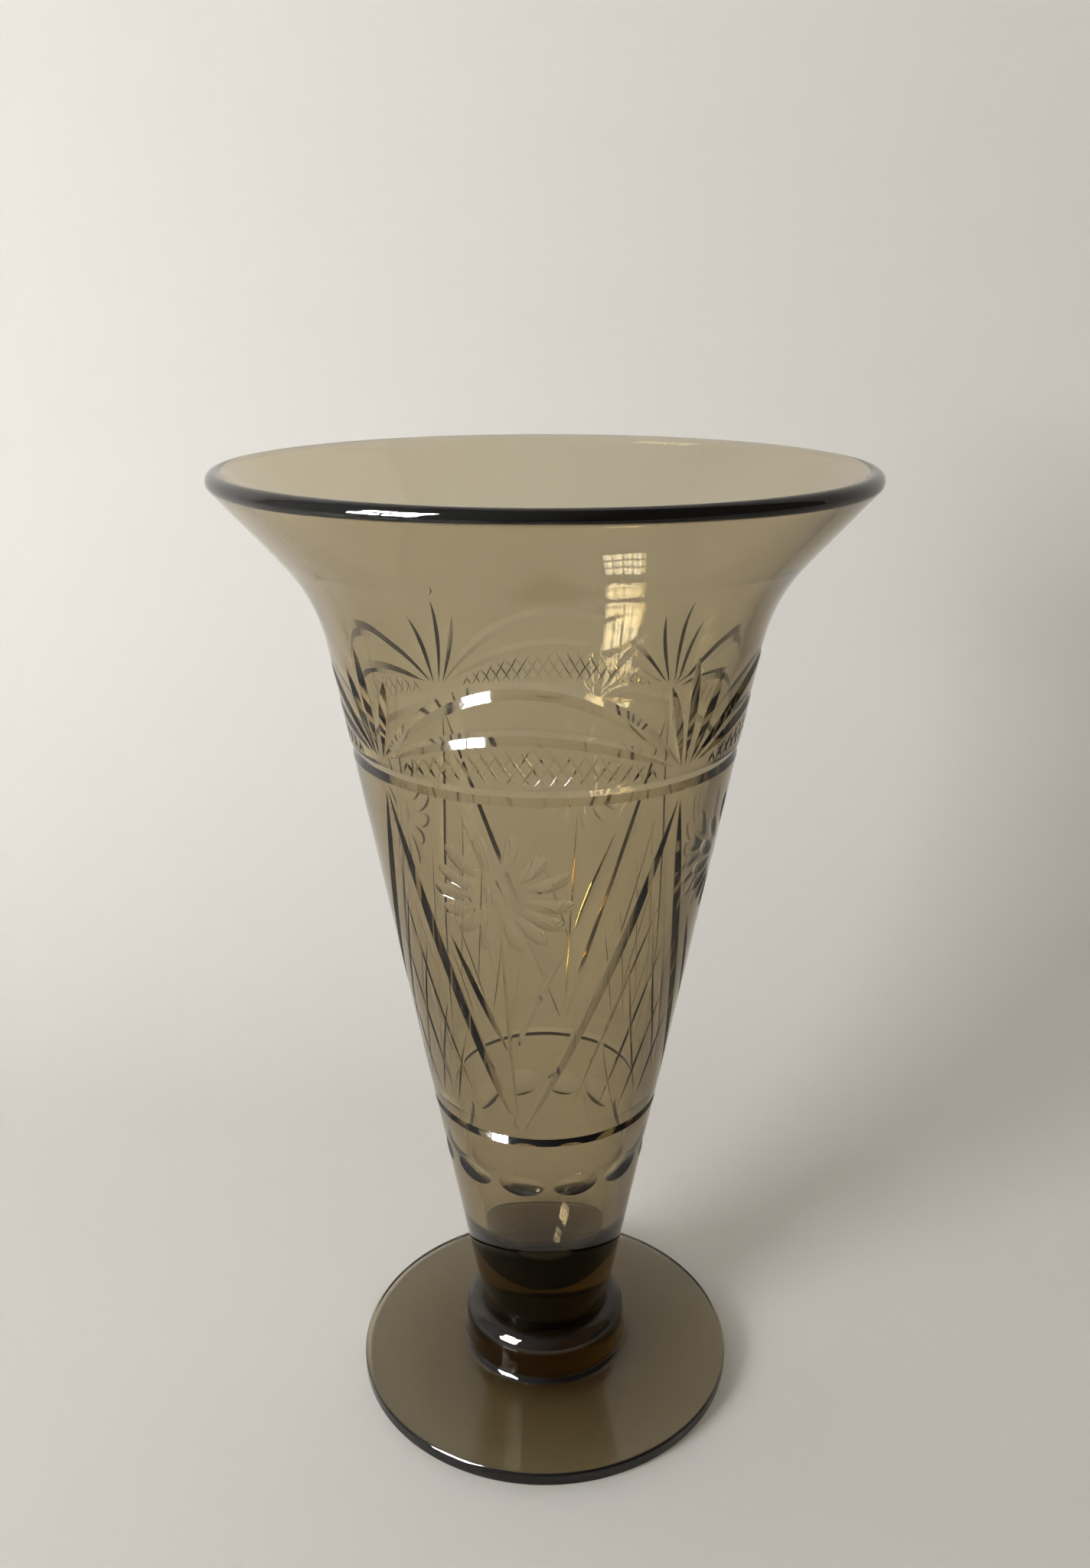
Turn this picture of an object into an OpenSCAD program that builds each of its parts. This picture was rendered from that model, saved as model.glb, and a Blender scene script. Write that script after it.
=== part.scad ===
// Cut-glass vase: a flared bowl on a short collar and a round foot, smoky brown glass.
// Millimetres. The underside of the foot is at z = 0 and the axis of the vase is the z axis.
// The bowl is a turned shape; every cut in it is made by a wheel with a V-shaped edge,
// the way a glass cutter makes it, so a cut follows the shape when a size changes.

/* [Vase] */
// Height from the underside of the foot to the rim
vase_height = 250; // [200:1:290]
// Diameter over the rim
rim_diameter = 153; // [140:1:210]
// Diameter of the foot
foot_diameter = 103; // [70:1:170]

/* [Foot and collar] */
// Thickness of the foot at its edge
foot_edge = 4.2; // [2.5:0.1:6]
// Thickness of the foot at the middle
foot_rise = 6.2; // [4:0.1:12]
// Rounding of the edge of the foot
foot_round = 1.1; // [0.5:0.1:1.2]
// Radius of the hollow where the foot rises to the collar
seat_round = 2.2; // [1:0.1:2.5]
// Diameter of the collar at its widest
collar_diameter = 44.4; // [42:0.2:60]
// Height of the collar
collar_height = 11.1; // [9:0.1:25]
// Rounding of the collar's shoulder
collar_shoulder = 4.7; // [2:0.1:5]

/* [Bowl] */
// Diameter of the bowl where it stands on the collar
stem_diameter = 35; // [33:1:37]
// Slope of the side of the bowl, from upright
body_slope = 10.2; // [7:0.1:12]
// Slope of the lip, from upright
lip_slope = 41.5; // [32:0.5:50]
// Radius of the curve between the side and the lip
flare_radius = 64; // [40:1:75]
// Rounding of both edges of the rim
rim_round = 1.35; // [0.8:0.05:1.5]
// Thickness of the glass of the lip
lip_wall = 4.2; // [3.2:0.1:4.8]
// Thickness of the glass where the lip begins
body_wall = 4.6; // [3.8:0.1:5.4]
// Thickness of the side at the lower ring
base_wall = 5.4; // [4.4:0.1:6.2]
// Thickness of the solid glass below the floor
base_solid = 9; // [6:0.5:30]
// Rounding of the floor of the bowl
floor_round = 14; // [6:1:15]

/* [Rings and lens cuts] */
// Middle of the upper ring, below the start of the lip's curve
ring_below_lip = 20.4; // [18:0.1:30]
// Middle of the lower ring, above the collar
ring_above_collar = 68; // [62:0.5:90]
// Width of the upper ring
upper_ring_width = 3.9; // [2:0.1:4.2]
// Width of the lower ring
lower_ring_width = 2.5; // [1.5:0.1:3.5]
// Depth of both rings
ring_depth = 1.3; // [0.8:0.1:1.6]
// Number of lens cuts round the bowl
lens_count = 12; // [8:1:12]
// Middle of the lens cuts, above the collar
lens_above_collar = 53.3; // [48:0.1:55]
// Height of a lens cut
lens_height = 7.5; // [5:0.1:8]
// Width of a lens cut
lens_width = 12.3; // [9:0.1:13]
// Depth of a lens cut
lens_depth = 1.1; // [0.8:0.1:1.3]
// Turn of the first lens cut from the front
lens_turn = 17; // [0:0.5:30]

/* [Long mitres] */
// Number of panels round the bowl
panels = 4; // [4:1:5]
// Turn of the first fan from the front
pattern_turn = 40; // [0:0.1:90]
// Width of a long mitre at its middle
mitre_width = 2.8; // [2:0.1:3.2]
// Depth of a long mitre at its middle
mitre_depth = 0.9; // [0.7:0.1:1.6]
// Gap between a long mitre's point and the ring
mitre_gap = 0.7; // [0.5:0.1:3]

/* [Arches and fans] */
// Crown of the upper arch above the upper ring
upper_arch_rise = 25.3; // [22:0.1:28]
// Crown of the lower arch above the upper ring
lower_arch_rise = 14.5; // [11:0.1:17]
// Gap between the foot of the upper arch and the middle of the fan
upper_arch_gap = 1.2; // [1:0.1:3]
// Gap between the foot of the lower arch and the middle of the fan
lower_arch_gap = 3; // [2:0.1:5]
// Width of the upper arch's cut
upper_arch_width = 4.2; // [2.6:0.1:4.6]
// Depth of the upper arch's cut
upper_arch_depth = 1; // [0.5:0.05:1.3]
// Width of the lower arch's cut
lower_arch_width = 3.7; // [2.4:0.1:4.2]
// Depth of the lower arch's cut
lower_arch_depth = 0.9; // [0.5:0.05:1.3]
// Tip of the middle ray above the upper ring
long_ray_rise = 30.7; // [26:0.1:33]
// Tip of the rays beside it above the upper ring
side_ray_rise = 25.4; // [20:0.1:28]
// Width across the tips of a fan's rays
fan_spread = 16.4; // [12:0.1:20]
// Width of a ray at its middle
ray_width = 3.5; // [2:0.1:3.8]
// Depth of a ray at its middle
ray_depth = 1; // [0.7:0.1:1.5]
// Gap between a fan's lowest point and the ring
fan_gap = 0.7; // [0.5:0.1:3]

/* [Hidden] */

smooth = 180;
tinge = [0.42, 0.33, 0.20];
overrun = 1;
bite = 1;
half = 1 / 2;
quarter_turn = 90;

// The feet of two neighbours' long mitres meet at this share of a panel.
mitre_foot_share = 0.43;
// At half its height a long mitre has made this share of its turn.
mitre_bow_share = 0.372;
// The feet of a fan's rays are this share as far apart as their tips.
ray_foot_share = 0.1;
// How much narrower than a circle the curve of each arch is.
lower_squeeze_share = 0.622;
upper_squeeze_share = 0.45;

// Heights of the joints.
collar_bottom = foot_rise + seat_round;
bowl_bottom = collar_bottom + collar_height;
floor_height = bowl_bottom + base_solid;
panel_turn = quarter_turn * 4 / panels;

// The rim is flat between two rounded edges; the lip's two sides touch them.
rim_flat = (lip_wall - rim_round * 2) / cos(lip_slope);
rim_middle = [rim_diameter * half - rim_round, vase_height - rim_round];
rim_inner = rim_middle - [rim_flat, 0];
along_lip = [sin(lip_slope), cos(lip_slope)];
off_lip = [cos(lip_slope), -sin(lip_slope)];
rim_out = rim_middle + off_lip * rim_round;
rim_in = rim_inner - off_lip * rim_round;

// The side and the lip are two straight lines that would meet in a corner.
function corner_height(foot, slope, tip, tip_slope) =
    (tip.x - foot.x - tip.y * tan(tip_slope) + foot.y * tan(slope))
    / (tan(slope) - tan(tip_slope));
function up_line(foot, slope, height) = [foot.x + (height - foot.y) * tan(slope), height];
function corner(foot, slope, tip, tip_slope) =
    up_line(foot, slope, corner_height(foot, slope, tip, tip_slope));

function unit(v) = v / norm(v);

// Outside of the bowl: side, curve and lip.
stem_edge = [stem_diameter * half, bowl_bottom];
bend_turn = lip_slope - body_slope;
out_corner = corner(stem_edge, body_slope, rim_out, lip_slope);
out_reach = flare_radius * tan(bend_turn * half);
out_start = out_corner - [sin(body_slope), cos(body_slope)] * out_reach;
out_end = out_corner + along_lip * out_reach;
out_middle = out_start + [cos(body_slope), -sin(body_slope)] * flare_radius;

function outer_radius(height) =
    height < out_start.y ? up_line(stem_edge, body_slope, height).x
    : height > out_end.y ? rim_out.x - (rim_out.y - height) * tan(lip_slope)
    : out_middle.x - sqrt(pow(flare_radius, 2) - pow(height - out_middle.y, 2));

// Inside of the bowl: the wall thins from the lower ring to the lip.
lower_ring = bowl_bottom + ring_above_collar;
in_foot = [outer_radius(lower_ring) - base_wall, lower_ring];
in_top = [out_start.x - body_wall, out_start.y];
in_slope = atan((in_top.x - in_foot.x) / (in_top.y - in_foot.y));
in_radius = flare_radius + body_wall;
in_corner = corner(in_foot, in_slope, rim_in, lip_slope);
in_reach = in_radius * tan((lip_slope - in_slope) * half);
in_start = in_corner - [sin(in_slope), cos(in_slope)] * in_reach;
in_end = in_corner + along_lip * in_reach;
in_middle = in_start + [cos(in_slope), -sin(in_slope)] * in_radius;

floor_edge = up_line(in_foot, in_slope, floor_height);
floor_reach = floor_round * tan((quarter_turn - in_slope) * half);
floor_middle = [floor_edge.x - floor_reach, floor_height + floor_round];
floor_inner = [floor_edge.x - floor_reach, floor_height];
floor_outer = floor_edge + [sin(in_slope), cos(in_slope)] * floor_reach;

// A point on the outside of the bowl, at a turn from the front.
function on_glass(turn, height) =
    [outer_radius(height) * sin(turn), -outer_radius(height) * cos(turn), height];
// The direction straight out of the glass there.
function off_glass(turn) =
    [sin(turn) * cos(body_slope), -cos(turn) * cos(body_slope), -sin(body_slope)];
function middle(a, b) = (a + b) * half;

// Heights and turns of the cuts.
upper_ring = out_start.y - ring_below_lip;
lens_middle = bowl_bottom + lens_above_collar;
fan_foot = upper_ring + upper_ring_width * half + fan_gap;
mitre_top = upper_ring - upper_ring_width * half - mitre_gap;
mitre_foot = lower_ring + lower_ring_width * half + mitre_gap;
side_ray_tip = upper_ring + side_ray_rise;
ray_turn = asin(fan_spread * half / outer_radius(side_ray_tip));
lens_half_turn = asin(lens_width * half / outer_radius(lens_middle));

// The foot: flat below, its top falling gently from the collar to a rounded edge.
module foot() {
    edge = foot_diameter * half - foot_round;
    seat = collar_diameter * half + seat_round;
    color(tinge)
    rotate_extrude($fn = smooth)
        union() {
            polygon([
                [0, 0],
                [edge, 0],
                [edge + foot_round, foot_round],
                [edge + foot_round, foot_edge - foot_round],
                [edge, foot_edge],
                [seat, foot_rise],
                [0, foot_rise]
            ]);
            translate([edge, foot_round])
                circle(r = foot_round, $fn = smooth);
            translate([edge, foot_edge - foot_round])
                circle(r = foot_round, $fn = smooth);
            difference() {
                translate([0, foot_rise - bite])
                    square([seat, seat_round + bite]);
                translate([seat, foot_rise + seat_round])
                    circle(r = seat_round, $fn = smooth);
            }
        }
}

// The collar: a solid disc with a round shoulder.
module collar() {
    wide = collar_diameter * half;
    flat = [wide - collar_shoulder, bowl_bottom - collar_shoulder];
    color(tinge)
    rotate_extrude($fn = smooth)
        union() {
            polygon([
                [0, collar_bottom],
                [wide, collar_bottom],
                [wide, flat.y],
                [flat.x, bowl_bottom],
                [0, bowl_bottom]
            ]);
            translate(flat)
                circle(r = collar_shoulder, $fn = smooth);
        }
}

// Half of the bowl's section.
module bowl_section() {
    difference() {
        union() {
            polygon([
                [0, bowl_bottom],
                stem_edge,
                out_corner,
                rim_out,
                rim_middle,
                rim_middle + [0, rim_round],
                rim_inner + [0, rim_round],
                rim_inner,
                rim_in,
                in_corner,
                floor_edge,
                [0, floor_height]
            ]);
            translate(rim_middle)
                circle(r = rim_round, $fn = smooth);
            translate(rim_inner)
                circle(r = rim_round, $fn = smooth);
            difference() {
                polygon([out_start, out_middle, out_end, out_corner - [bite, 0]]);
                translate(out_middle)
                    circle(r = flare_radius, $fn = smooth * 2);
            }
            difference() {
                polygon([floor_edge + [bite, -bite], floor_outer, floor_middle, floor_inner]);
                translate(floor_middle)
                    circle(r = floor_round, $fn = smooth);
            }
        }
        difference() {
            polygon([in_corner - [bite, 0], in_start, in_end]);
            translate(in_middle)
                circle(r = in_radius, $fn = smooth * 2);
        }
    }
}

// A V-shaped wheel's cut from one point on the glass to another, full depth at its middle.
// Round the curve of the glass the V faces inwards; in a leaf-shaped cut it is the wheel's rim.
// A squeeze below 1 makes the path narrower than a circle.
module wheel_cut(start, end, centre, out, depth, width, squeeze = 1) {
    chord = end - start;
    base = middle(start, end);
    way = unit(chord);
    up = unit(out - way * (out * way));
    bulge = (centre - base) * up - depth;
    reach = norm(chord) * half / squeeze;
    wheel = (pow(reach, 2) + pow(bulge, 2)) / (2 * abs(bulge));
    side = bulge > 0 ? 1 : -1;
    hub = base + up * (bulge - side * wheel);
    front = up * side;
    over = cross(front, way);
    swing = asin(min((reach + overrun) / wheel, 1));
    deep = depth + overrun;
    spread = width * half * deep / depth;
    multmatrix([
        [front.x, way.x * squeeze, over.x, hub.x],
        [front.y, way.y * squeeze, over.y, hub.y],
        [front.z, way.z * squeeze, over.z, hub.z]
    ])
        rotate([0, 0, -swing])
            rotate_extrude(angle = swing * 2, $fn = smooth * 2)
                polygon([
                    [wheel, 0],
                    [wheel + side * deep, spread],
                    [wheel + side * deep, -spread]
                ]);
}

// A ring cut all the way round.
module ring_cut(height, width) {
    edge = outer_radius(height);
    spread = width * half * (ring_depth + overrun) / ring_depth;
    rotate_extrude($fn = smooth)
        polygon([
            [edge - ring_depth, height],
            [edge + overrun, height - spread],
            [edge + overrun, height + spread]
        ]);
}

// The row of lens cuts below the lower ring.
module lens_row() {
    start = on_glass(-lens_half_turn, lens_middle);
    end = on_glass(lens_half_turn, lens_middle);
    centre = on_glass(0, lens_middle);
    for (k = [0 : lens_count - 1])
        rotate([0, 0, lens_turn + quarter_turn * 4 * k / lens_count])
            wheel_cut(start, end, centre, off_glass(0), lens_depth, lens_height);
}

// The same cut at every fan round the bowl.
module at_fans() {
    for (k = [0 : panels - 1])
        rotate([0, 0, pattern_turn + k * panel_turn])
            children();
}

// A long mitre from below a fan to the lower ring.
module long_mitre(sweep) {
    head = on_glass(0, mitre_top);
    tail = on_glass(sweep, mitre_foot);
    centre = on_glass(sweep * mitre_bow_share, middle(mitre_top, mitre_foot));
    wheel_cut(head, tail, centre, centre - middle(head, tail), mitre_depth, mitre_width);
}

// A ray of a fan.
module ray(turn, rise) {
    tip = upper_ring + rise;
    foot_turn = turn * ray_foot_share;
    start = on_glass(foot_turn, fan_foot);
    end = on_glass(turn, tip);
    centre = on_glass(middle(foot_turn, turn), middle(fan_foot, tip));
    wheel_cut(start, end, centre, off_glass(middle(foot_turn, turn)), ray_depth, ray_width);
}

// An arch from one fan to the next.
module arch(rise, gap, depth, width, squeeze) {
    foot_turn = asin(gap / outer_radius(fan_foot));
    turn = panel_turn * half - foot_turn;
    start = on_glass(-turn, fan_foot);
    end = on_glass(turn, fan_foot);
    crown = on_glass(0, upper_ring + rise);
    rotate([0, 0, panel_turn * half])
        wheel_cut(start, end, crown, crown - middle(start, end), depth, width, squeeze);
}

// The bowl as it is blown, then with its cuts in the order they are made.
module plain_bowl() {
    rotate_extrude($fn = smooth)
        bowl_section();
}

module ringed_bowl() {
    difference() {
        plain_bowl();
        ring_cut(upper_ring, upper_ring_width);
        ring_cut(lower_ring, lower_ring_width);
        lens_row();
    }
}

module mitred_bowl() {
    difference() {
        difference() {
            ringed_bowl();
            at_fans() long_mitre(mitre_foot_share * panel_turn);
        }
        at_fans() long_mitre((mitre_foot_share - 1) * panel_turn);
    }
}

module arched_bowl() {
    difference() {
        difference() {
            mitred_bowl();
            at_fans()
                arch(
                    lower_arch_rise,
                    lower_arch_gap,
                    lower_arch_depth,
                    lower_arch_width,
                    lower_squeeze_share
                );
        }
        at_fans()
            arch(
                upper_arch_rise,
                upper_arch_gap,
                upper_arch_depth,
                upper_arch_width,
                upper_squeeze_share
            );
    }
}

module bowl() {
    color(tinge)
    difference() {
        difference() {
            difference() {
                arched_bowl();
                at_fans() ray(ray_turn, side_ray_rise);
            }
            at_fans() ray(-ray_turn, side_ray_rise);
        }
        at_fans() ray(0, long_ray_rise);
    }
}

foot();
collar();
bowl();
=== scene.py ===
import math

import bpy
import numpy as np
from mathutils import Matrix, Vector


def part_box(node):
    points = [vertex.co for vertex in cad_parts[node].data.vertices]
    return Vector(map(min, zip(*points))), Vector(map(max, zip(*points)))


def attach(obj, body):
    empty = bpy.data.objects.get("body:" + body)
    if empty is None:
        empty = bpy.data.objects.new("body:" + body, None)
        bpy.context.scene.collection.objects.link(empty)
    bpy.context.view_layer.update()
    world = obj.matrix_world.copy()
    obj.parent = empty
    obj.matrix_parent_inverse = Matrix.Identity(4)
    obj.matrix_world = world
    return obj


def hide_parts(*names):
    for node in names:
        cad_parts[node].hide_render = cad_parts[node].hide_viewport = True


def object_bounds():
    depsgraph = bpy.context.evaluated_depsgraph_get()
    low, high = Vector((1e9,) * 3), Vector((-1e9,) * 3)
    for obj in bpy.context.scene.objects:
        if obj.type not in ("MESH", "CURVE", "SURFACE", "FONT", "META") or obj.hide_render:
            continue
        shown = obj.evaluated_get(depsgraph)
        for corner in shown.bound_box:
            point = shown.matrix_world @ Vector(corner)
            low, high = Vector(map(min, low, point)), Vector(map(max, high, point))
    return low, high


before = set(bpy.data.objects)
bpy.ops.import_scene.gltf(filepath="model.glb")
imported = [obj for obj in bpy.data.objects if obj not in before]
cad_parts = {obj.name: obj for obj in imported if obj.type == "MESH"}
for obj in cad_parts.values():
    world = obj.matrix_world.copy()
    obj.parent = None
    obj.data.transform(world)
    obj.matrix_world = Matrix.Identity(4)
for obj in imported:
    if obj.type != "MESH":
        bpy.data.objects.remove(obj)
cad_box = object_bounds()

MM = 0.001
FULL_TURN = 360.0


def cad_size(node, corner, axis):
    """One coordinate of a CAD node's box, in millimetres."""
    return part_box(node)[corner][axis] / MM


# Sizes that the frame gives.
VASE_HEIGHT = cad_box[1][2] / MM
RIM_RADIUS = cad_box[1][0] / MM
FOOT_RADIUS = cad_size("foot", 1, 0)
COLLAR_RADIUS = cad_size("collar", 1, 0)
BOWL_BOTTOM = cad_size("bowl", 0, 2)

# Foot and collar.
FOOT_EDGE = 4.2
FOOT_ROUND = 1.1
FOOT_RISE = 6.2
SEAT_ROUND = 2.2
COLLAR_SHOULDER = 4.7

# Bowl: slopes are from upright.
STEM_RADIUS = 17.5
BODY_SLOPE = 10.2
LIP_SLOPE = 41.5
FLARE_RADIUS = 42.0
LIP_WALL = 4.2
BODY_WALL = 4.6
BASE_WALL = 5.4
BASE_SOLID = 9.0
FLOOR_CURVE = 38.0
FLOOR_TIP = 11.0

# How finely the turned shape is divided.
SEGMENTS = 320
RING_STEP = 8.0
ARC_STEP = 2.5
SMALL_ARC_STEP = 9.0

# How far a cutter reaches out of the glass, how far its ends are lifted off it, and the points of its path.
CUTTER_REACH = 0.25
CUTTER_LIFT = 0.1
TRACK_STEP = 0.9
FINE_TRACK_STEP = 0.7
FEWEST_STEPS = 8
ROUND_EDGE_POINTS = 9
SLOPE_PROBE = 0.1

# Rings and lens cuts.
UPPER_RING = 184.7
LOWER_RING = 87.5
UPPER_RING_WIDTH = 3.9
UPPER_RING_DEPTH = 0.65
LOWER_RING_WIDTH = 2.5
LOWER_RING_DEPTH = 1.3
LENS_COUNT = 12
LENS_MIDDLE = 72.8
LENS_HEIGHT = 7.5
LENS_WIDTH = 12.3
LENS_DEPTH = 1.1
LENS_TURN = 17.0
LENS_POINTS = 30

# The pattern repeats at every fan.
PANELS = 4
PANEL_TURN = FULL_TURN / PANELS
FAN_TURN = 40.0
FAN_FOOT = 187.4

# Long mitres: the turn of each one's lower end from the fan, and the share of it made at half their height.
MITRE_TOP = 182.2
MITRE_FOOT = 89.4
MITRE_SWEEPS = (38.7, -51.3)
MITRE_BOW = 0.372
MITRE_WIDTH = 3.2
MITRE_DEPTH = 1.0
MITRE_FULLNESS = 3.2

# Arches: height of the crown, gap at the fan, width and depth.
UPPER_ARCH = dict(crown=209.9, gap=1.2, width=4.2, depth=1.0)
LOWER_ARCH = dict(crown=199.1, gap=3.0, width=3.7, depth=0.9)
ARCH_FULLNESS = 4.0
ARCH_POINTS = 80
ARCH_BELOW = 20.0
ARCH_BELOW_TOP = 5.0
ARCH_HALVINGS = 40

# Rays of a fan: turn from the fan at the tip, height of the tip.
RAYS = ((-9.2, 209.8), (-2.0, 215.3), (8.8, 210.2))
RAY_WIDTH = 3.5
RAY_DEPTH = 0.75
RAY_FOOT_SHARE = 0.12
RAY_BELLY = 0.58
RAY_POINTS = 40

# Crossed lines between two long mitres, as (turn, height) points, with turns from the front.
RISING_LINES = (
    ((6.9, 90.3), (23.0, 120.0), (43.0, 161.5)),
    ((20.8, 91.0), (35.2, 120.0), (47.4, 147.5)),
    ((33.6, 91.5), (43.6, 112.0), (52.4, 130.0)),
    ((45.2, 93.0), (52.2, 107.5), (59.0, 121.0)),
)
FALLING_LINES = (
    ((35.8, 161.0), (46.9, 121.0), (60.2, 94.5)),
    ((29.1, 146.0), (35.2, 120.0), (46.4, 93.5)),
    ((21.3, 126.5), (27.4, 105.0), (35.4, 91.5)),
    ((12.4, 111.0), (16.3, 102.0), (20.8, 91.5)),
    ((1.3, 97.0), (3.2, 93.5), (5.4, 90.0)),
)
LINE_WIDTH = 0.95
LINE_DEPTH = 0.22
LINE_POINTS = 60

# Fine crossed lines under the lower arch.
HATCH_SPACING = 3.75
HATCH_LEAN = 0.766
HATCH_FOOT = 187.2
HATCH_GAP = 1.9
HATCH_WIDTH = 0.8
HATCH_DEPTH = 0.3
HATCH_RISE = 14
HATCH_POINTS = 80
HATCH_FEWEST = 14

# The daisy in each panel: its place, the turn and length of each petal, and its leaves.
DAISY_TURN = -14.6
DAISY_HEIGHT = 160.0
PETALS = (
    (-7, 18.4), (20, 18.4), (44, 15.6), (74, 17.0), (103, 16.4), (134, 16.6), (158, 15.4),
    (180, 16.2), (203, 15.6), (228, 14.8), (256, 16.4), (288, 16.2), (312, 17.2), (332, 17.8),
)
PETAL_START = 4.4
PETAL_WIDTH = 3.9
PETAL_DEPTH = 0.58
PETAL_BELLY = 0.66
PETAL_BEND = 1.2
PETAL_POINTS = 40
CENTRE_WIDTH = 7.6
CENTRE_DEPTH = 0.28
CENTRE_POINTS = 24
FLOWER_STEM = dict(points=((-13.9, 154.0), (-13.6, 122.0), (-12.0, 91.5)), width=1.1, depth=0.4)
LEFT_LEAF = dict(points=((-13.7, 114.5), (-21.5, 127.0), (-33.0, 147.5)), width=2.1, depth=0.8)
RIGHT_LEAF = dict(points=((-13.4, 112.5), (-5.9, 126.0), (8.0, 146.0)), width=1.9, depth=0.6)

# Glass: what light loses in a metre of it is the density times one less the colour.
GLASS_IOR = 1.5
SMOKE_COLOUR = (0.58, 0.48, 0.2, 1)
SMOKE_DENSITY = 200.0

# Its cords, the slow swirls of blown glass: how they tint and wave the surface.
CORD_STRETCH = (1, 1, 0.35)
CORD_SCALE = 38.0
CORD_TINT = (0.985, 0.983, 0.975, 1)
CLEAR_TINT = (1, 1, 1, 1)
WAVE_STRENGTH = 0.1

# The satin trace of the wheel: its grain, and the roughness that it has in the cuts.
GRAIN_SCALE = 900.0
SATIN_ROUGHNESS = (0.03, 0.12)

# Face angles that part a cut from the turned surface, and one facet of a cut from the next.
ON_SURFACE = 0.03
SURFACE_ANGLE = 4.0
FACET_ANGLE = 10.0


def turned(angle):
    """The unit vector (radius, height) at an angle from the horizontal, in degrees."""
    return np.array([math.cos(math.radians(angle)), math.sin(math.radians(angle))])


class Line:
    """A straight stretch of the section. The glass is on the left of its direction."""

    def __init__(self, start, end):
        self.start, self.end = np.array(start, float), np.array(end, float)

    def points(self):
        count = max(1, math.ceil(np.linalg.norm(self.end - self.start) / RING_STEP))
        return [self.start + (self.end - self.start) * k / count for k in range(count)]

    def nearest(self, place):
        along = self.end - self.start
        length = np.linalg.norm(along)
        along = along / length
        off = np.array([along[1], -along[0]])
        reach = (place - self.start) @ along
        past = np.maximum(np.maximum(-reach, reach - length), 0)
        away = (place - self.start) @ off
        return np.hypot(away, past), np.broadcast_to(off, place.shape)


class Arc:
    """A round stretch of the section, from one angle to another."""

    def __init__(self, centre, radius, first, last, step=SMALL_ARC_STEP):
        self.centre, self.radius = np.array(centre, float), radius
        self.first, self.last, self.step = first, last, step

    def points(self):
        count = max(2, math.ceil(abs(self.last - self.first) / self.step))
        angles = [self.first + (self.last - self.first) * k / count for k in range(count)]
        return [self.centre + turned(angle) * self.radius for angle in angles]

    def nearest(self, place):
        spoke = place - self.centre
        length = np.maximum(np.linalg.norm(spoke, axis=-1), 1e-9)
        middle = (self.first + self.last) / 2
        angle = np.degrees(np.arctan2(spoke[..., 1], spoke[..., 0])) - middle
        angle = np.abs((angle + 180) % 360 - 180)
        past = np.maximum(angle - abs(self.last - self.first) / 2, 0)
        away = np.abs(length - self.radius)
        side = 1 if self.last > self.first else -1
        return np.hypot(away, np.radians(past) * length), spoke / length[..., None] * side


def lean(start, slope, height):
    """Radius at a height on a straight side that leans out by slope from start."""
    return start[0] + (height - start[1]) * math.tan(math.radians(slope))


def crossing(foot, slope, tip, tip_slope):
    """Where a side that leans by slope from foot meets one that leans by tip_slope through tip."""
    a, b = math.tan(math.radians(slope)), math.tan(math.radians(tip_slope))
    height = (tip[0] - foot[0] - tip[1] * b + foot[1] * a) / (a - b)
    return np.array([foot[0] + (height - foot[1]) * a, height])


def up_slope(slope):
    return turned(90 - slope)


# The corners and centres of the section, worked out as in the source of the solid.
rim_round = LIP_WALL / 2
rim_middle = np.array([RIM_RADIUS - rim_round, VASE_HEIGHT - rim_round])
rim_out = rim_middle + turned(-LIP_SLOPE) * rim_round
rim_in = rim_middle - turned(-LIP_SLOPE) * rim_round
stem_edge = np.array([STEM_RADIUS, BOWL_BOTTOM])
out_corner = crossing(stem_edge, BODY_SLOPE, rim_out, LIP_SLOPE)
out_reach = FLARE_RADIUS * math.tan(math.radians((LIP_SLOPE - BODY_SLOPE) / 2))
out_start = out_corner - up_slope(BODY_SLOPE) * out_reach
out_end = out_corner + up_slope(LIP_SLOPE) * out_reach
out_middle = out_start + turned(-BODY_SLOPE) * FLARE_RADIUS
floor_height = BOWL_BOTTOM + BASE_SOLID
in_foot = np.array([lean(stem_edge, BODY_SLOPE, LOWER_RING) - BASE_WALL, LOWER_RING])
in_top = out_start - np.array([BODY_WALL, 0])
in_slope = math.degrees(math.atan2(in_top[0] - in_foot[0], in_top[1] - in_foot[1]))
in_radius = FLARE_RADIUS + BODY_WALL
in_corner = crossing(in_foot, in_slope, rim_in, LIP_SLOPE)
in_reach = in_radius * math.tan(math.radians((LIP_SLOPE - in_slope) / 2))
in_start = in_corner - up_slope(in_slope) * in_reach
in_end = in_corner + up_slope(LIP_SLOPE) * in_reach
in_middle = in_start + turned(-in_slope) * in_radius
tip_middle = np.array([0, floor_height + FLOOR_TIP])
curve_side = in_foot + turned(180 - in_slope) * FLOOR_CURVE - tip_middle
curve_along = curve_side @ up_slope(in_slope)
curve_gap = FLOOR_CURVE - FLOOR_TIP
curve_up = math.sqrt(curve_along ** 2 - curve_side @ curve_side + curve_gap ** 2) - curve_along
curve_middle = in_foot + up_slope(in_slope) * curve_up + turned(180 - in_slope) * FLOOR_CURVE
floor_outer = in_foot + up_slope(in_slope) * curve_up
tip_turn = math.degrees(math.atan2(curve_middle[1] - tip_middle[1], -curve_middle[0]))
foot_middle = FOOT_RADIUS - FOOT_ROUND
seat = COLLAR_RADIUS + SEAT_ROUND
shoulder_middle = (COLLAR_RADIUS - COLLAR_SHOULDER, BOWL_BOTTOM - COLLAR_SHOULDER)

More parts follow.
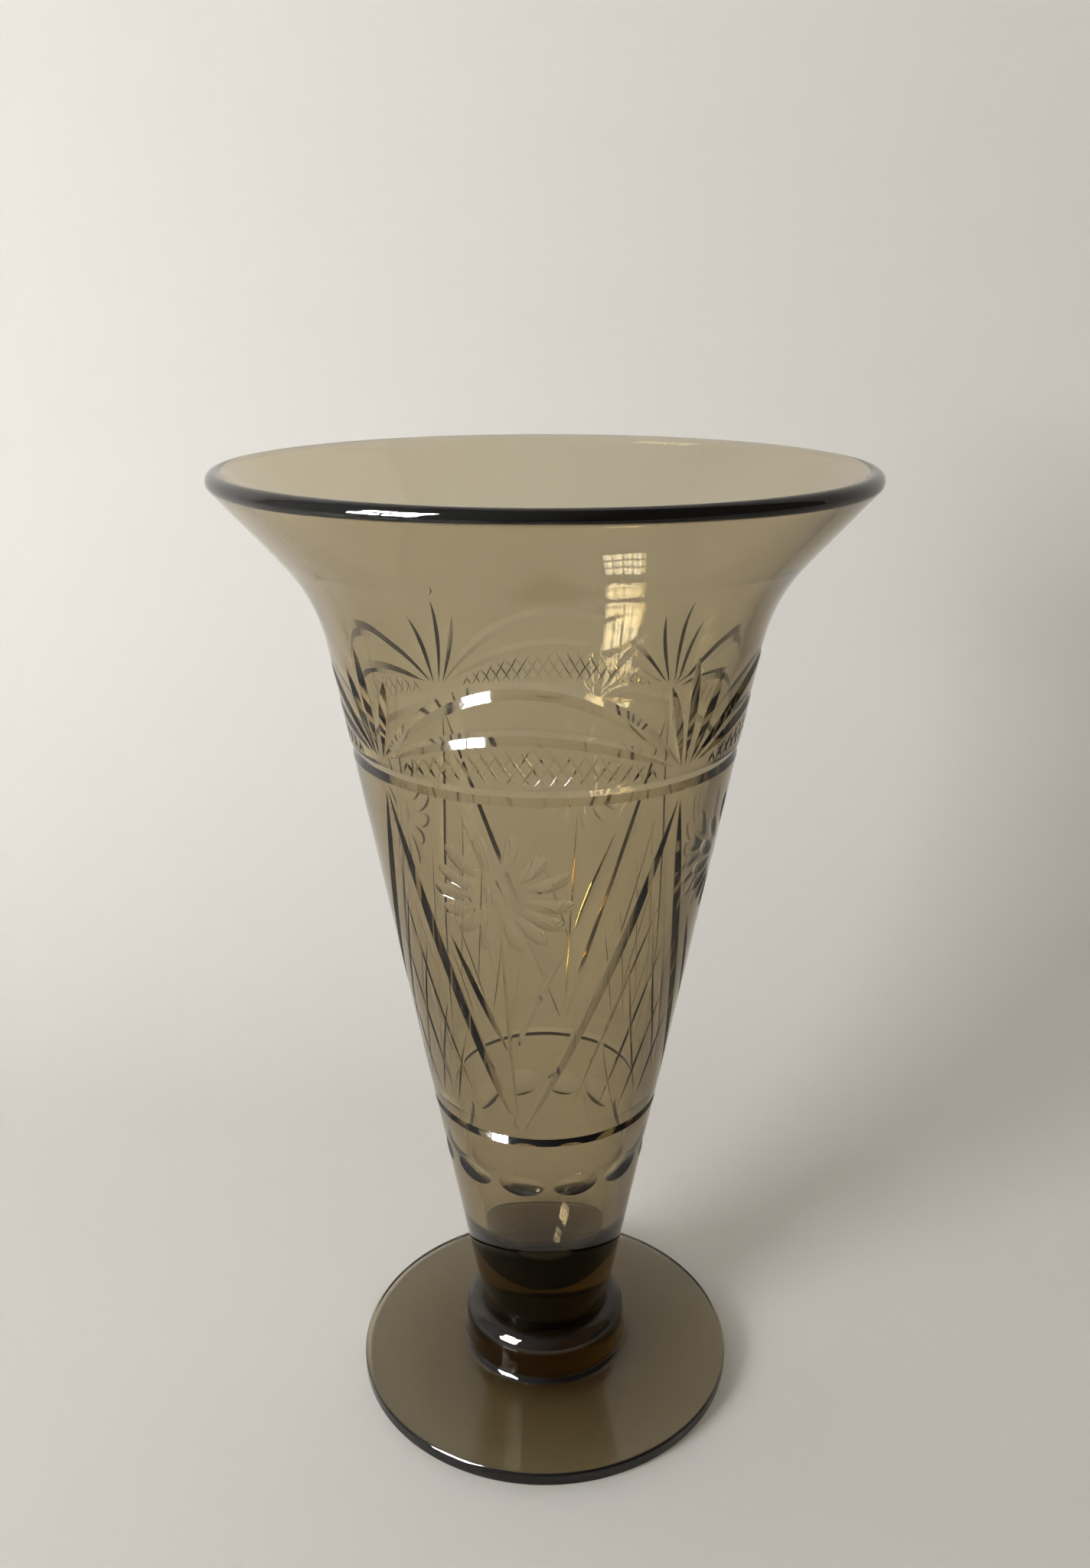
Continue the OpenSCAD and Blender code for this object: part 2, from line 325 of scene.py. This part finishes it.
SECTION = [
    Line((0, 0), (foot_middle, 0)),
    Arc((foot_middle, FOOT_ROUND), FOOT_ROUND, -90, 0),
    Line((FOOT_RADIUS, FOOT_ROUND), (FOOT_RADIUS, FOOT_EDGE - FOOT_ROUND)),
    Arc((foot_middle, FOOT_EDGE - FOOT_ROUND), FOOT_ROUND, 0, 90),
    Line((foot_middle, FOOT_EDGE), (seat, FOOT_RISE)),
    Arc((seat, FOOT_RISE + SEAT_ROUND), SEAT_ROUND, -90, -180),
    Line((COLLAR_RADIUS, FOOT_RISE + SEAT_ROUND), (COLLAR_RADIUS, shoulder_middle[1])),
    Arc(shoulder_middle, COLLAR_SHOULDER, 0, 90),
    Line(stem_edge, out_start),
    Arc(out_middle, FLARE_RADIUS, 180 - BODY_SLOPE, 180 - LIP_SLOPE, ARC_STEP),
    Line(out_end, rim_out),
    Arc(rim_middle, rim_round, -LIP_SLOPE, 180 - LIP_SLOPE),
    Line(rim_in, in_end),
    Arc(in_middle, in_radius, 180 - LIP_SLOPE, 180 - in_slope, ARC_STEP),
    Line(in_start, floor_outer),
    Arc(curve_middle, FLOOR_CURVE, -in_slope, -tip_turn, ARC_STEP),
    Arc(tip_middle, FLOOR_TIP, -tip_turn, -90),
]


def new_object(name, vertices, faces):
    """A mesh object from points in millimetres."""
    mesh = bpy.data.meshes.new(name)
    mesh.from_pydata([tuple(v) for v in np.asarray(vertices) * MM], [], faces)
    mesh.validate()
    obj = bpy.data.objects.new(name, mesh)
    bpy.context.scene.collection.objects.link(obj)
    return obj


def turned_vase():
    """The uncut vase: the section turned about the axis, closed at both poles."""
    outline = [p for stretch in SECTION for p in stretch.points()][1:]
    angles = np.radians(np.arange(SEGMENTS) * FULL_TURN / SEGMENTS)
    rings = [
        np.stack([r * np.sin(angles), -r * np.cos(angles), np.full(SEGMENTS, z)], -1)
        for r, z in outline
    ]
    vertices = np.concatenate(rings + [[(0, 0, 0)], [(0, 0, floor_height)]])
    bottom, top = len(vertices) - 2, len(vertices) - 1
    last = (len(outline) - 1) * SEGMENTS
    faces = []
    for k in range(SEGMENTS):
        n = (k + 1) % SEGMENTS
        faces.append((bottom, n, k))
        faces.append((top, last + k, last + n))
        for ring in range(len(outline) - 1):
            low, high = ring * SEGMENTS, (ring + 1) * SEGMENTS
            faces.append((low + k, low + n, high + n, high + k))
    return new_object("vase", vertices, faces)


def outer_radius(height):
    """Radius of the outside of the bowl at a height."""
    height = np.asarray(height, float)
    side = lean(stem_edge, BODY_SLOPE, height)
    lip = rim_out[0] - (rim_out[1] - height) * math.tan(math.radians(LIP_SLOPE))
    drop = np.clip(height - out_middle[1], -FLARE_RADIUS, FLARE_RADIUS)
    curve = out_middle[0] - np.sqrt(FLARE_RADIUS ** 2 - drop ** 2)
    return np.where(height < out_start[1], side, np.where(height > out_end[1], lip, curve))


def on_glass(turn, height):
    """Points on the outside of the bowl."""
    radius, angle = outer_radius(height), np.radians(turn)
    return np.stack([radius * np.sin(angle), -radius * np.cos(angle), height + 0 * angle], -1)


def off_glass(turn, height):
    """Unit vectors straight out of the glass there."""
    rise = outer_radius(height + SLOPE_PROBE) - outer_radius(height - SLOPE_PROBE)
    slope = rise / (2 * SLOPE_PROBE)
    angle, fall = np.radians(turn), 1 / np.hypot(1, slope)
    return np.stack([np.sin(angle) * fall, -np.cos(angle) * fall, -slope * fall], -1)


def evenly(turns, heights, step=TRACK_STEP):
    """The same track with its points about one step apart on the glass."""
    place = on_glass(turns, heights)
    run = np.concatenate([[0], np.cumsum(np.linalg.norm(np.diff(place, axis=0), axis=1))])
    count = max(FEWEST_STEPS, int(run[-1] / step))
    share = np.linspace(0, run[-1], count + 1)
    return np.interp(share, run, turns), np.interp(share, run, heights)


def curve_through(points):
    """A track through three (turn, height) points."""
    (t0, h0), (t1, h1), (t2, h2) = points
    middle = (h1 - h0) / (h2 - h0)
    s = np.linspace(0, 1, LINE_POINTS)
    bow = ((t1 - t0) - (t2 - t0) * middle) / (middle * (middle - 1))
    return evenly(t0 + (t2 - t0) * s + bow * s * (s - 1), h0 + (h2 - h0) * s)


def wheel_depth(s, depth, belly=0.5, fullness=2.0):
    """Depth of a wheel's cut along its track, deepest at the belly and lifted clear at its ends."""
    u = s ** (math.log(0.5) / math.log(belly))
    return (depth + CUTTER_LIFT) * (1 - np.abs(2 * u - 1) ** fullness) - CUTTER_LIFT


def cutter(track, depths, width, depth, rounded=False, closed=False):
    """Vertices and faces of the body that a wheel's edge sweeps along a track."""
    turns, heights = track
    place, out = on_glass(turns, heights), off_glass(turns, heights)
    along = np.roll(place, -1, 0) - np.roll(place, 1, 0) if closed else np.gradient(place, axis=0)
    along /= np.linalg.norm(along, axis=1)[:, None]
    across = np.cross(out, along)
    across /= np.linalg.norm(across, axis=1)[:, None]
    deep = depths + CUTTER_REACH
    if rounded:
        shares = np.linspace(-1, 1, ROUND_EDGE_POINTS)
        spread = np.sqrt(width ** 2 / (4 * depth) * deep)
        sides = spread[:, None] * shares
        lows = shares ** 2 * deep[:, None] - depths[:, None]
    else:
        spread = deep * width / (2 * depth)
        sides = spread[:, None] * np.array([-1, 0, 1])
        lows = np.stack([deep - depths, -depths, deep - depths], 1)
    vertices = place[:, None] + across[:, None] * sides[..., None] + out[:, None] * lows[..., None]
    count, width_count = sides.shape
    faces = []
    for i in range(count if closed else count - 1):
        a, b = i * width_count, (i + 1) % count * width_count
        for j in range(width_count):
            n = (j + 1) % width_count
            faces.append((a + j, a + n, b + n, b + j))
    if not closed:
        last = (count - 1) * width_count
        faces.append(tuple(reversed(range(width_count))))
        faces.append(tuple(range(last, last + width_count)))
    return vertices.reshape(-1, 3), faces


def wheel_cut(track, width, depth, belly=0.5, rounded=False, fullness=2.0):
    """A cut that runs out at both ends."""
    shares = np.linspace(0, 1, len(track[0]))
    return cutter(track, wheel_depth(shares, depth, belly, fullness), width, depth, rounded)


def ring_cut(height, width, depth):
    """A level cut all the way round."""
    turns = np.arange(SEGMENTS) * FULL_TURN / SEGMENTS + FULL_TURN / SEGMENTS / 2
    track = turns, np.full(SEGMENTS, height)
    return cutter(track, np.full(SEGMENTS, depth), width, depth, closed=True)


def lens_cut(k):
    """One oval cut of the row above the stem."""
    middle = LENS_TURN + FULL_TURN * k / LENS_COUNT
    half = math.degrees(math.asin(LENS_WIDTH / 2 / outer_radius(LENS_MIDDLE)))
    turns = np.linspace(middle - half, middle + half, LENS_POINTS)
    heights = np.full(LENS_POINTS, LENS_MIDDLE)
    return wheel_cut((turns, heights), LENS_HEIGHT, LENS_DEPTH, rounded=True)


def long_mitre(fan, sweep):
    """A long cut from the fan down to the lower ring."""
    middle = (fan + sweep * MITRE_BOW, (MITRE_TOP + MITRE_FOOT) / 2)
    track = curve_through(((fan, MITRE_TOP), middle, (fan + sweep, MITRE_FOOT)))
    return wheel_cut(track, MITRE_WIDTH, MITRE_DEPTH, fullness=MITRE_FULLNESS)


def arch_heights(turns, crown):
    """Heights of an arch: a level cut through two fans' feet and the crown between them."""
    half = np.radians(PANEL_TURN / 2)
    foot_radius, crown_radius = outer_radius(FAN_FOOT), outer_radius(crown)
    near = foot_radius * math.cos(half)
    steep = (crown - FAN_FOOT) / (crown_radius - near)
    low = np.full(len(turns), FAN_FOOT - ARCH_BELOW)
    high = np.full(len(turns), VASE_HEIGHT - ARCH_BELOW_TOP)
    for _ in range(ARCH_HALVINGS):
        middle = (low + high) / 2
        above = middle - FAN_FOOT - steep * (outer_radius(middle) * np.cos(np.radians(turns)) - near)
        low, high = np.where(above < 0, middle, low), np.where(above < 0, high, middle)
    return (low + high) / 2


def arch(fan, shape):
    """An arch from this fan to the next."""
    foot = math.degrees(math.asin(shape["gap"] / outer_radius(FAN_FOOT)))
    turns = np.linspace(foot - PANEL_TURN / 2, PANEL_TURN / 2 - foot, ARCH_POINTS)
    track = evenly(turns + fan + PANEL_TURN / 2, arch_heights(turns, shape["crown"]))
    return wheel_cut(track, shape["width"], shape["depth"], fullness=ARCH_FULLNESS)


def ray(fan, turn, tip):
    """A ray of a fan."""
    turns = np.linspace(fan + turn * RAY_FOOT_SHARE, fan + turn, RAY_POINTS)
    track = evenly(turns, np.linspace(FAN_FOOT, tip, RAY_POINTS))
    return wheel_cut(track, RAY_WIDTH, RAY_DEPTH, RAY_BELLY)


def line(points, shift):
    """A crossed line, moved round by shift."""
    track = curve_through([(turn + shift, height) for turn, height in points])
    return wheel_cut(track, LINE_WIDTH, LINE_DEPTH)


def hatch_lines(fan, side):
    """Fine lines from the upper ring to the lower arch, all leaning one way."""
    middle = fan + PANEL_TURN / 2
    count = int(PANEL_TURN / HATCH_SPACING)
    cuts = []
    for k in range(-2, count + 2):
        start = fan + (k + 0.5) * HATCH_SPACING
        rise = np.linspace(0, HATCH_RISE, HATCH_POINTS)
        turns = start + side * HATCH_LEAN * rise
        heights = HATCH_FOOT + rise
        roof = arch_heights(turns - middle, LOWER_ARCH["crown"]) - HATCH_GAP
        inside = (heights < roof) & (np.abs(turns - middle) < PANEL_TURN / 2)
        if inside.sum() > HATCH_FEWEST:
            track = evenly(turns[inside], heights[inside])
            cuts.append(wheel_cut(track, HATCH_WIDTH, HATCH_DEPTH))
    return cuts


def on_daisy(fan, across, up):
    """(turn, height) of a point given in millimetres from the daisy's middle."""
    height = DAISY_HEIGHT + up * math.cos(math.radians(BODY_SLOPE))
    turn = np.degrees(across / outer_radius(height))
    return fan - FAN_TURN + DAISY_TURN + turn, height


def petal(fan, angle, length):
    """A petal that points at an angle from level and ends at a length from the daisy's middle."""
    reach = np.linspace(PETAL_START, length, PETAL_POINTS)
    share = (reach - PETAL_START) / (length - PETAL_START)
    bend = PETAL_BEND * share * (1 - share) * 4 * math.cos(math.radians(angle))
    along = turned(angle)
    across, up = reach * along[0] + bend * along[1], reach * along[1] - bend * along[0]
    track = evenly(*on_daisy(fan, across, up), FINE_TRACK_STEP)
    return wheel_cut(track, PETAL_WIDTH, PETAL_DEPTH, PETAL_BELLY, rounded=True)


def daisy_centre(fan):
    """The round cut in the middle of the daisy."""
    across = np.linspace(-CENTRE_WIDTH / 2, CENTRE_WIDTH / 2, CENTRE_POINTS)
    return wheel_cut(on_daisy(fan, across, across * 0), CENTRE_WIDTH, CENTRE_DEPTH, rounded=True)


def leaf(fan, shape):
    """A leaf of the daisy, or its stem."""
    track = curve_through([(turn + fan - FAN_TURN, height) for turn, height in shape["points"]])
    return wheel_cut(track, shape["width"], shape["depth"])


def cut_away(vase, name, bodies):
    """Takes cutter bodies that don't touch each other out of the vase in one step."""
    vertices, faces, start = [], [], 0
    for points, body_faces in bodies:
        vertices.append(points)
        faces += [tuple(i + start for i in face) for face in body_faces]
        start += len(points)
    tool = new_object(name, np.concatenate(vertices), faces)
    step = vase.modifiers.new(name, "BOOLEAN")
    step.operation, step.solver, step.object = "DIFFERENCE", "MANIFOLD", tool
    graph = bpy.context.evaluated_depsgraph_get()
    shaped = bpy.data.meshes.new_from_object(vase.evaluated_get(graph))
    vase.modifiers.clear()
    old = vase.data
    vase.data = shaped
    bpy.data.meshes.remove(old)
    mesh = tool.data
    bpy.data.objects.remove(tool)
    bpy.data.meshes.remove(mesh)


def cut_vase():
    """The vase with every cut."""
    vase = turned_vase()
    fans = [FAN_TURN + k * PANEL_TURN for k in range(PANELS)]
    rings = [ring_cut(UPPER_RING, UPPER_RING_WIDTH, UPPER_RING_DEPTH)]
    rings.append(ring_cut(LOWER_RING, LOWER_RING_WIDTH, LOWER_RING_DEPTH))
    steps = {"rings": rings, "lenses": [lens_cut(k) for k in range(LENS_COUNT)]}
    for side, sweep in enumerate(MITRE_SWEEPS):
        steps[f"mitres{side}"] = [long_mitre(fan, sweep) for fan in fans]
    steps["low_arches"] = [arch(fan, LOWER_ARCH) for fan in fans]
    steps["high_arches"] = [arch(fan, UPPER_ARCH) for fan in fans]
    for k, (turn, tip) in enumerate(RAYS):
        steps[f"rays{k}"] = [ray(fan, turn, tip) for fan in fans]
    for name, lines in (("rising", RISING_LINES), ("falling", FALLING_LINES)):
        steps[name] = [line(points, fan - FAN_TURN) for fan in fans for points in lines]
    for side in (1, -1):
        steps[f"hatch{side}"] = [cut for fan in fans for cut in hatch_lines(fan, side)]
    for half in (0, 1):
        steps[f"petals{half}"] = [petal(fan, *shape) for fan in fans for shape in PETALS[half::2]]
    steps["centres"] = [daisy_centre(fan) for fan in fans]
    steps["stems"] = [leaf(fan, FLOWER_STEM) for fan in fans]
    steps["left_leaves"] = [leaf(fan, LEFT_LEAF) for fan in fans]
    steps["right_leaves"] = [leaf(fan, RIGHT_LEAF) for fan in fans]
    for name, bodies in steps.items():
        cut_away(vase, name, bodies)
    return vase


def smooth_glass(vase):
    """True normals of the turned shape where it is uncut, crisp edges where a cut meets it.

    Writes the face attribute cut: 1 on a wheel's cut, 0 on the glass as blown."""
    mesh = vase.data
    faces, corners = len(mesh.polygons), len(mesh.loops)
    place = np.empty(len(mesh.vertices) * 3)
    mesh.vertices.foreach_get("co", place)
    place = place.reshape(-1, 3) / MM
    centre, normal = np.empty(faces * 3), np.empty(faces * 3)
    mesh.polygons.foreach_get("center", centre)
    mesh.polygons.foreach_get("normal", normal)
    centre, normal = centre.reshape(-1, 3) / MM, normal.reshape(-1, 3)
    sizes, corner_vertex = np.empty(faces, int), np.empty(corners, int)
    mesh.polygons.foreach_get("loop_total", sizes)
    mesh.loops.foreach_get("vertex_index", corner_vertex)
    corner_face = np.repeat(np.arange(faces), sizes)

    def in_section(points):
        return np.stack([np.hypot(points[:, 0], points[:, 1]), points[:, 2]], -1)

    def in_space(flat, points):
        radius = np.maximum(np.hypot(points[:, 0], points[:, 1]), 1e-9)
        spoke = points[:, :2] / radius[:, None]
        return np.concatenate([spoke * flat[:, :1], flat[:, 1:]], 1)

    found = [stretch.nearest(in_section(centre)) for stretch in SECTION]
    away = np.array([distance for distance, _ in found])
    stretch_of = away.argmin(0)
    flat = np.array([off for _, off in found])[stretch_of, np.arange(faces)]
    like = (in_space(flat, centre) * normal).sum(1)
    blown = (away.min(0) < ON_SURFACE) & (like > math.cos(math.radians(SURFACE_ANGLE)))

    wanted = np.zeros((corners, 3))
    points = place[corner_vertex]
    for k, stretch in enumerate(SECTION):
        here = blown[corner_face] & (stretch_of[corner_face] == k)
        if here.any():
            _, off = stretch.nearest(in_section(points[here]))
            wanted[here] = in_space(off, points[here])

    corner_edge = np.empty(corners, int)
    mesh.loops.foreach_get("edge_index", corner_edge)
    order = np.argsort(corner_edge, kind="stable")
    edges = corner_edge[order]
    pairs = np.nonzero(edges[1:] == edges[:-1])[0]
    one, two = corner_face[order[pairs]], corner_face[order[pairs + 1]]
    bend = (normal[one] * normal[two]).sum(1)
    sharp = np.zeros(len(mesh.edges), bool)
    corner_edges = blown[one] != blown[two]
    facet_edges = ~blown[one] & ~blown[two] & (bend < math.cos(math.radians(FACET_ANGLE)))
    step_edges = blown[one] & blown[two] & (bend < math.cos(math.radians(FACET_ANGLE * 2)))
    sharp[edges[pairs]] = corner_edges | facet_edges | step_edges
    mesh.polygons.foreach_set("use_smooth", np.ones(faces, bool))
    marks = mesh.attributes.get("sharp_edge")
    marks = marks or mesh.attributes.new("sharp_edge", "BOOLEAN", "EDGE")
    marks.data.foreach_set("value", sharp)
    mesh.normals_split_custom_set(wanted)
    cuts = mesh.attributes.new("cut", "FLOAT", "FACE")
    cuts.data.foreach_set("value", (~blown).astype(np.float32))


def node(tree, kind, **inputs):
    """A shader node with some of its inputs set by name."""
    made = tree.nodes.new(kind)
    for name, value in inputs.items():
        made.inputs[name.replace("_", " ")].default_value = value
    return made


def maths(tree, operation, first, second=None):
    """The output of a maths node. Each input is a number or another node's output."""
    made = node(tree, "ShaderNodeMath")
    made.operation = operation
    for place, value in enumerate((first, second)):
        if isinstance(value, (int, float)):
            made.inputs[place].default_value = value
        elif value is not None:
            tree.links.new(value, made.inputs[place])
    return made.outputs["Value"]


def glass_material():
    """Smoky brown glass: clear shader, tint in its depth, faint cords and a satin trace in the cuts."""
    material = bpy.data.materials.new("smoky_glass")
    material.use_nodes = True
    tree = material.node_tree
    tree.nodes.clear()
    link = tree.links.new
    out = node(tree, "ShaderNodeOutputMaterial")
    skin = node(tree, "ShaderNodeBsdfPrincipled", Transmission_Weight=1.0, IOR=GLASS_IOR)
    depth = node(tree, "ShaderNodeVolumeAbsorption", Color=SMOKE_COLOUR, Density=SMOKE_DENSITY)
    link(skin.outputs["BSDF"], out.inputs["Surface"])
    link(depth.outputs["Volume"], out.inputs["Volume"])

    where = node(tree, "ShaderNodeTexCoord")
    stretch = node(tree, "ShaderNodeMapping")
    stretch.inputs["Scale"].default_value = CORD_STRETCH
    link(where.outputs["Object"], stretch.inputs["Vector"])
    cords = node(tree, "ShaderNodeTexNoise", Scale=CORD_SCALE, Detail=2.0, Roughness=0.4)
    link(stretch.outputs["Vector"], cords.inputs["Vector"])

    tint = node(tree, "ShaderNodeValToRGB")
    tint.color_ramp.elements[0].color = CORD_TINT
    tint.color_ramp.elements[1].color = CLEAR_TINT
    link(cords.outputs["Fac"], tint.inputs["Fac"])
    link(tint.outputs["Color"], skin.inputs["Base Color"])

    cut = node(tree, "ShaderNodeAttribute")
    cut.attribute_name = "cut"
    grain = node(tree, "ShaderNodeTexNoise", Scale=GRAIN_SCALE, Detail=3.0)
    link(where.outputs["Object"], grain.inputs["Vector"])
    low, high = SATIN_ROUGHNESS
    satin = node(tree, "ShaderNodeMapRange", From_Min=0.35, From_Max=0.75, To_Min=low, To_Max=high)
    link(grain.outputs["Fac"], satin.inputs["Value"])
    rough = maths(tree, "MULTIPLY", cut.outputs["Fac"], satin.outputs["Result"])
    link(rough, skin.inputs["Roughness"])

    wave = node(tree, "ShaderNodeBump", Strength=WAVE_STRENGTH, Distance=MM)
    link(cords.outputs["Fac"], wave.inputs["Height"])
    link(wave.outputs["Normal"], skin.inputs["Normal"])
    return material


# The sheet under and behind the vase, in metres, and its paper.
SHEET_LOW = -0.0003
SHEET_HALF = 2.0
SHEET_FRONT = -1.2
BEND_START = 0.12
BEND_RADIUS = 0.2
BEND_STEPS = 24
SHEET_TOP = 1.9
PAPER_COLOUR = (0.84, 0.815, 0.775, 1)
PAPER_ROUGHNESS = 0.9
PAPER_SHINE = 0.1

# The room: the way to its bright side, where the light starts to rise, and its two colours.
BRIGHT_WAY = (-0.9, -0.1, 0.2)
BRIGHT_FROM = -0.1
DARK_COLOUR = (0.13, 0.12, 0.105, 1)
BRIGHT_COLOUR = (0.7, 0.69, 0.67, 1)

# The window that lights the vase, in metres and watts. A bar is a share of the window.
WINDOW_PLACE = (-1.0, -0.8, 0.46)
WINDOW_AIM = (0, 0.2, 0.15)
WINDOW_SIZE = (0.5, 0.4)
WINDOW_POWER = 20.0
WINDOW_PANES = (4, 4)
WINDOW_BAR = 0.05

# Two bright windows that only show in the glass: height above the table, own height, and power.
SHOWN_WINDOWS = {"low": (0.5, 0.28, 104.0), "high": (1.05, 0.4, 145.0)}
SHOWN_PLACE = (-0.98, -0.78)
SHOWN_WIDTH = 0.6
SHOWN_PANES = (4, 3)
SHOWN_BAR = 0.07

# The camera as fitted to the photograph: metres, degrees, millimetres.
CAMERA_PLACE = (0, -0.3213, 0.2841)
CAMERA_DOWN = 19.27
CAMERA_LENS = 31.41
CAMERA_NEAR = 0.01


def paper_material():
    """The plain pale sheet under and behind the vase."""
    material = bpy.data.materials.new("pale_sheet")
    material.use_nodes = True
    tree = material.node_tree
    skin = tree.nodes["Principled BSDF"]
    skin.inputs["Base Color"].default_value = PAPER_COLOUR
    skin.inputs["Roughness"].default_value = PAPER_ROUGHNESS
    skin.inputs["Specular IOR Level"].default_value = PAPER_SHINE

    # A view from behind the sheet looks through it to the vase.
    side = node(tree, "ShaderNodeNewGeometry")
    path = node(tree, "ShaderNodeLightPath")
    hidden = maths(tree, "MULTIPLY", side.outputs["Backfacing"], path.outputs["Is Camera Ray"])
    clear = node(tree, "ShaderNodeBsdfTransparent")
    mix = node(tree, "ShaderNodeMixShader")
    tree.links.new(hidden, mix.inputs["Fac"])
    tree.links.new(skin.outputs["BSDF"], mix.inputs[1])
    tree.links.new(clear.outputs["BSDF"], mix.inputs[2])
    tree.links.new(mix.outputs["Shader"], tree.nodes["Material Output"].inputs["Surface"])
    return material


def pale_sheet():
    """A sheet that lies flat and then bends up behind the vase."""
    path = [(SHEET_FRONT, SHEET_LOW), (BEND_START, SHEET_LOW)]
    for k in range(1, BEND_STEPS + 1):
        angle = math.radians(90 * k / BEND_STEPS)
        rise = BEND_RADIUS * (1 - math.cos(angle))
        path.append((BEND_START + BEND_RADIUS * math.sin(angle), SHEET_LOW + rise))
    path.append((path[-1][0], SHEET_TOP))
    vertices = [(x / MM, y / MM, z / MM) for y, z in path for x in (-SHEET_HALF, SHEET_HALF)]
    faces = [(2 * k, 2 * k + 1, 2 * k + 3, 2 * k + 2) for k in range(len(path) - 1)]
    sheet = new_object("sheet", vertices, faces)
    for face in sheet.data.polygons:
        face.use_smooth = True
    sheet.data.materials.append(paper_material())


def aim(obj, place, target):
    """Places a light and turns it towards a point."""
    obj.location = place
    way = Vector(target) - Vector(place)
    obj.rotation_euler = way.to_track_quat("-Z", "Y").to_euler()


def window(name, place, size, power, panes, bar, only_shown=False):
    """A window of panes: an area light with dark bars, or one that only shows in the glass."""
    lamp = bpy.data.lights.new(name, "AREA")
    lamp.shape, lamp.size, lamp.size_y, lamp.energy = "RECTANGLE", *size, power
    lamp.use_nodes = True
    tree = lamp.node_tree
    glow = next(n for n in tree.nodes if n.type == "EMISSION")
    spot = node(tree, "ShaderNodeNewGeometry")
    parts = node(tree, "ShaderNodeSeparateXYZ")
    tree.links.new(spot.outputs["Parametric"], parts.inputs["Vector"])
    between_bars = []
    for axis, count in zip("XY", panes):
        share = maths(tree, "FRACT", maths(tree, "MULTIPLY", parts.outputs[axis], count))
        off = maths(tree, "ABSOLUTE", maths(tree, "SUBTRACT", share, 0.5))
        between_bars.append(maths(tree, "LESS_THAN", off, 0.5 - bar * count / 2))
    lit = maths(tree, "MULTIPLY", *between_bars)
    if only_shown:
        path = node(tree, "ShaderNodeLightPath")
        straight = maths(tree, "LESS_THAN", path.outputs["Diffuse Depth"], 0.5)
        lit = maths(tree, "MULTIPLY", lit, straight)
    tree.links.new(lit, glow.inputs["Strength"])
    obj = bpy.data.objects.new(name, lamp)
    obj.visible_diffuse = not only_shown
    bpy.context.scene.collection.objects.link(obj)
    aim(obj, place, WINDOW_AIM)


def room():
    """The room: bright to the left, dark towards the viewer."""
    world = bpy.data.worlds.new("room")
    bpy.context.scene.world = world
    world.use_nodes = True
    tree = world.node_tree
    back = tree.nodes["Background"]
    where = node(tree, "ShaderNodeTexCoord")
    towards = node(tree, "ShaderNodeVectorMath")
    towards.operation = "DOT_PRODUCT"
    towards.inputs[1].default_value = BRIGHT_WAY
    tree.links.new(where.outputs["Generated"], towards.inputs[0])
    rise = node(tree, "ShaderNodeMapRange", From_Min=BRIGHT_FROM)
    tree.links.new(towards.outputs["Value"], rise.inputs["Value"])
    ramp = node(tree, "ShaderNodeValToRGB")
    ramp.color_ramp.elements[0].color = DARK_COLOUR
    ramp.color_ramp.elements[1].color = BRIGHT_COLOUR
    tree.links.new(rise.outputs["Result"], ramp.inputs["Fac"])
    tree.links.new(ramp.outputs["Color"], back.inputs["Color"])
    back.inputs["Strength"].default_value = 1.0


def camera():
    """The photograph's point of view."""
    data = bpy.data.cameras.new("camera")
    data.lens = CAMERA_LENS
    data.clip_start = CAMERA_NEAR
    obj = bpy.data.objects.new("camera", data)
    obj.location = CAMERA_PLACE
    obj.rotation_euler = (math.radians(90 - CAMERA_DOWN), 0, 0)
    bpy.context.scene.collection.objects.link(obj)
    bpy.context.scene.camera = obj


camera()
vase = cut_vase()
smooth_glass(vase)
vase.data.materials.clear()
vase.data.materials.append(glass_material())
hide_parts("foot", "collar", "bowl")
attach(vase, "root")

pale_sheet()
room()
window("window", WINDOW_PLACE, WINDOW_SIZE, WINDOW_POWER, WINDOW_PANES, WINDOW_BAR)
for name, (rise, height, power) in SHOWN_WINDOWS.items():
    place, size = (*SHOWN_PLACE, rise), (SHOWN_WIDTH, height)
    window("panes_" + name, place, size, power, SHOWN_PANES, SHOWN_BAR, only_shown=True)

bpy.context.scene.view_settings.view_transform = "Standard"
